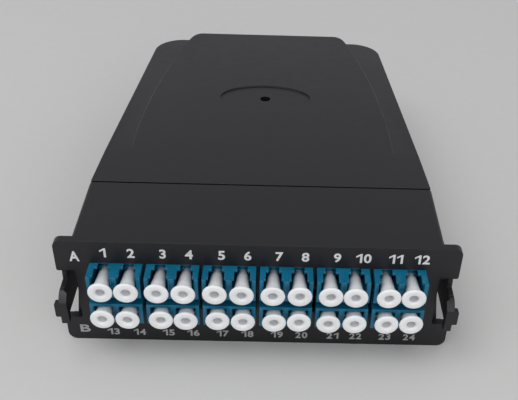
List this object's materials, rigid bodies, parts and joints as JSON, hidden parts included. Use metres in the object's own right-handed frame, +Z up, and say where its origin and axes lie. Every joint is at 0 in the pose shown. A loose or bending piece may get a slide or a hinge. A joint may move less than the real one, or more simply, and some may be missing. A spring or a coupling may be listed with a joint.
{
  "type": "fibre cassette",
  "caption": "Black moulded fibre cassette: tapering housing, front plate with two rows of blue duplex adapters under white dust plugs, spring side latches, rear multi-fibre ports.",
  "frame": {"origin": "centre of the bounding box at its base, on the surface that the cassette rests on", "axes": "+Z up, +Y from the front plate to the rear wall, +X to the right seen from the front"},
  "size_m": [0.0992, 0.1378, 0.033],
  "materials": {
    "frame_plastic": "black moulded plastic with a fine satin grain",
    "housing_plastic": "black moulded plastic with a fine satin grain, slightly lighter where light rakes over it",
    "latch_plastic": "black moulded plastic",
    "adapter_blue": "blue glossy moulded plastic",
    "cap_white": "white soft plastic, slightly translucent",
    "ceramic": "white ground ceramic",
    "plug_blue": "blue moulded plug bodies with short boots",
    "fibre_jacket": "yellow coated fibre",
    "mpo_plastic": "black moulded plastic",
    "mpo_cap_plastic": "pale grey soft plastic",
    "marking_ink": "pale grey printed digits and row letters on the front plate",
    "screw_steel": "blackened steel"
  },
  "bodies": {
    "housing": {"front_frame": "frame_plastic", "base_tray": "housing_plastic", "rear_cover": "housing_plastic", "cover_screw": "screw_steel", "lc_adapter_a1": "adapter_blue", "lc_adapter_a2": "adapter_blue", "lc_adapter_a3": "adapter_blue", "lc_adapter_a4": "adapter_blue", "lc_adapter_a5": "adapter_blue", "lc_adapter_a6": "adapter_blue", "lc_adapter_b1": "adapter_blue", "lc_adapter_b2": "adapter_blue", "lc_adapter_b3": "adapter_blue", "lc_adapter_b4": "adapter_blue", "lc_adapter_b5": "adapter_blue", "lc_adapter_b6": "adapter_blue", "alignment_sleeves": "ceramic", "lc_plugs_a": "plug_blue", "lc_plugs_b": "plug_blue", "fibre_loom_a": "fibre_jacket", "fibre_loom_b": "fibre_jacket", "mpo_plug_a": "mpo_plastic", "mpo_plug_b": "mpo_plastic", "mpo_adapter_a": "mpo_plastic", "mpo_adapter_b": "mpo_plastic"},
    "left_latch": {"left_latch": "latch_plastic"},
    "right_latch": {"right_latch": "latch_plastic"},
    "dust_cap_01": {"dust_cap_01": "cap_white"},
    "dust_cap_02": {"dust_cap_02": "cap_white"},
    "dust_cap_03": {"dust_cap_03": "cap_white"},
    "dust_cap_04": {"dust_cap_04": "cap_white"},
    "dust_cap_05": {"dust_cap_05": "cap_white"},
    "dust_cap_06": {"dust_cap_06": "cap_white"},
    "dust_cap_07": {"dust_cap_07": "cap_white"},
    "dust_cap_08": {"dust_cap_08": "cap_white"},
    "dust_cap_09": {"dust_cap_09": "cap_white"},
    "dust_cap_10": {"dust_cap_10": "cap_white"},
    "dust_cap_11": {"dust_cap_11": "cap_white"},
    "dust_cap_12": {"dust_cap_12": "cap_white"},
    "dust_cap_13": {"dust_cap_13": "cap_white"},
    "dust_cap_14": {"dust_cap_14": "cap_white"},
    "dust_cap_15": {"dust_cap_15": "cap_white"},
    "dust_cap_16": {"dust_cap_16": "cap_white"},
    "dust_cap_17": {"dust_cap_17": "cap_white"},
    "dust_cap_18": {"dust_cap_18": "cap_white"},
    "dust_cap_19": {"dust_cap_19": "cap_white"},
    "dust_cap_20": {"dust_cap_20": "cap_white"},
    "dust_cap_21": {"dust_cap_21": "cap_white"},
    "dust_cap_22": {"dust_cap_22": "cap_white"},
    "dust_cap_23": {"dust_cap_23": "cap_white"},
    "dust_cap_24": {"dust_cap_24": "cap_white"},
    "mpo_cap_a": {"mpo_cap_a": "mpo_cap_plastic"},
    "mpo_cap_b": {"mpo_cap_b": "mpo_cap_plastic"}
  },
  "joints": [
    {"name": "left_latch_flex", "type": "hinge", "parent": "housing", "child": "left_latch", "pos_m": [-0.0476, -0.04535, 0.0164], "axis": [0, 0, 1], "range_deg": [0, 4.5], "stiffness_Nm_per_rad": 0.8},
    {"name": "right_latch_flex", "type": "hinge", "parent": "housing", "child": "right_latch", "pos_m": [0.0476, -0.04535, 0.0164], "axis": [0, 0, -1], "range_deg": [0, 4.5], "stiffness_Nm_per_rad": 0.8},
    {"name": "dust_cap_01_pull", "type": "slide", "parent": "housing", "child": "dust_cap_01", "axis": [0, -1, 0], "range_m": [0, 0.012]},
    {"name": "dust_cap_02_pull", "type": "slide", "parent": "housing", "child": "dust_cap_02", "axis": [0, -1, 0], "range_m": [0, 0.012]},
    {"name": "dust_cap_03_pull", "type": "slide", "parent": "housing", "child": "dust_cap_03", "axis": [0, -1, 0], "range_m": [0, 0.012]},
    {"name": "dust_cap_04_pull", "type": "slide", "parent": "housing", "child": "dust_cap_04", "axis": [0, -1, 0], "range_m": [0, 0.012]},
    {"name": "dust_cap_05_pull", "type": "slide", "parent": "housing", "child": "dust_cap_05", "axis": [0, -1, 0], "range_m": [0, 0.012]},
    {"name": "dust_cap_06_pull", "type": "slide", "parent": "housing", "child": "dust_cap_06", "axis": [0, -1, 0], "range_m": [0, 0.012]},
    {"name": "dust_cap_07_pull", "type": "slide", "parent": "housing", "child": "dust_cap_07", "axis": [0, -1, 0], "range_m": [0, 0.012]},
    {"name": "dust_cap_08_pull", "type": "slide", "parent": "housing", "child": "dust_cap_08", "axis": [0, -1, 0], "range_m": [0, 0.012]},
    {"name": "dust_cap_09_pull", "type": "slide", "parent": "housing", "child": "dust_cap_09", "axis": [0, -1, 0], "range_m": [0, 0.012]},
    {"name": "dust_cap_10_pull", "type": "slide", "parent": "housing", "child": "dust_cap_10", "axis": [0, -1, 0], "range_m": [0, 0.012]},
    {"name": "dust_cap_11_pull", "type": "slide", "parent": "housing", "child": "dust_cap_11", "axis": [0, -1, 0], "range_m": [0, 0.012]},
    {"name": "dust_cap_12_pull", "type": "slide", "parent": "housing", "child": "dust_cap_12", "axis": [0, -1, 0], "range_m": [0, 0.012]},
    {"name": "dust_cap_13_pull", "type": "slide", "parent": "housing", "child": "dust_cap_13", "axis": [0, -1, 0], "range_m": [0, 0.012]},
    {"name": "dust_cap_14_pull", "type": "slide", "parent": "housing", "child": "dust_cap_14", "axis": [0, -1, 0], "range_m": [0, 0.012]},
    {"name": "dust_cap_15_pull", "type": "slide", "parent": "housing", "child": "dust_cap_15", "axis": [0, -1, 0], "range_m": [0, 0.012]},
    {"name": "dust_cap_16_pull", "type": "slide", "parent": "housing", "child": "dust_cap_16", "axis": [0, -1, 0], "range_m": [0, 0.012]},
    {"name": "dust_cap_17_pull", "type": "slide", "parent": "housing", "child": "dust_cap_17", "axis": [0, -1, 0], "range_m": [0, 0.012]},
    {"name": "dust_cap_18_pull", "type": "slide", "parent": "housing", "child": "dust_cap_18", "axis": [0, -1, 0], "range_m": [0, 0.012]},
    {"name": "dust_cap_19_pull", "type": "slide", "parent": "housing", "child": "dust_cap_19", "axis": [0, -1, 0], "range_m": [0, 0.012]},
    {"name": "dust_cap_20_pull", "type": "slide", "parent": "housing", "child": "dust_cap_20", "axis": [0, -1, 0], "range_m": [0, 0.012]},
    {"name": "dust_cap_21_pull", "type": "slide", "parent": "housing", "child": "dust_cap_21", "axis": [0, -1, 0], "range_m": [0, 0.012]},
    {"name": "dust_cap_22_pull", "type": "slide", "parent": "housing", "child": "dust_cap_22", "axis": [0, -1, 0], "range_m": [0, 0.012]},
    {"name": "dust_cap_23_pull", "type": "slide", "parent": "housing", "child": "dust_cap_23", "axis": [0, -1, 0], "range_m": [0, 0.012]},
    {"name": "dust_cap_24_pull", "type": "slide", "parent": "housing", "child": "dust_cap_24", "axis": [0, -1, 0], "range_m": [0, 0.012]},
    {"name": "mpo_cap_a_pull", "type": "slide", "parent": "housing", "child": "mpo_cap_a", "axis": [0, 1, 0], "range_m": [0, 0.012]},
    {"name": "mpo_cap_b_pull", "type": "slide", "parent": "housing", "child": "mpo_cap_b", "axis": [0, 1, 0], "range_m": [0, 0.012]}
  ]
}
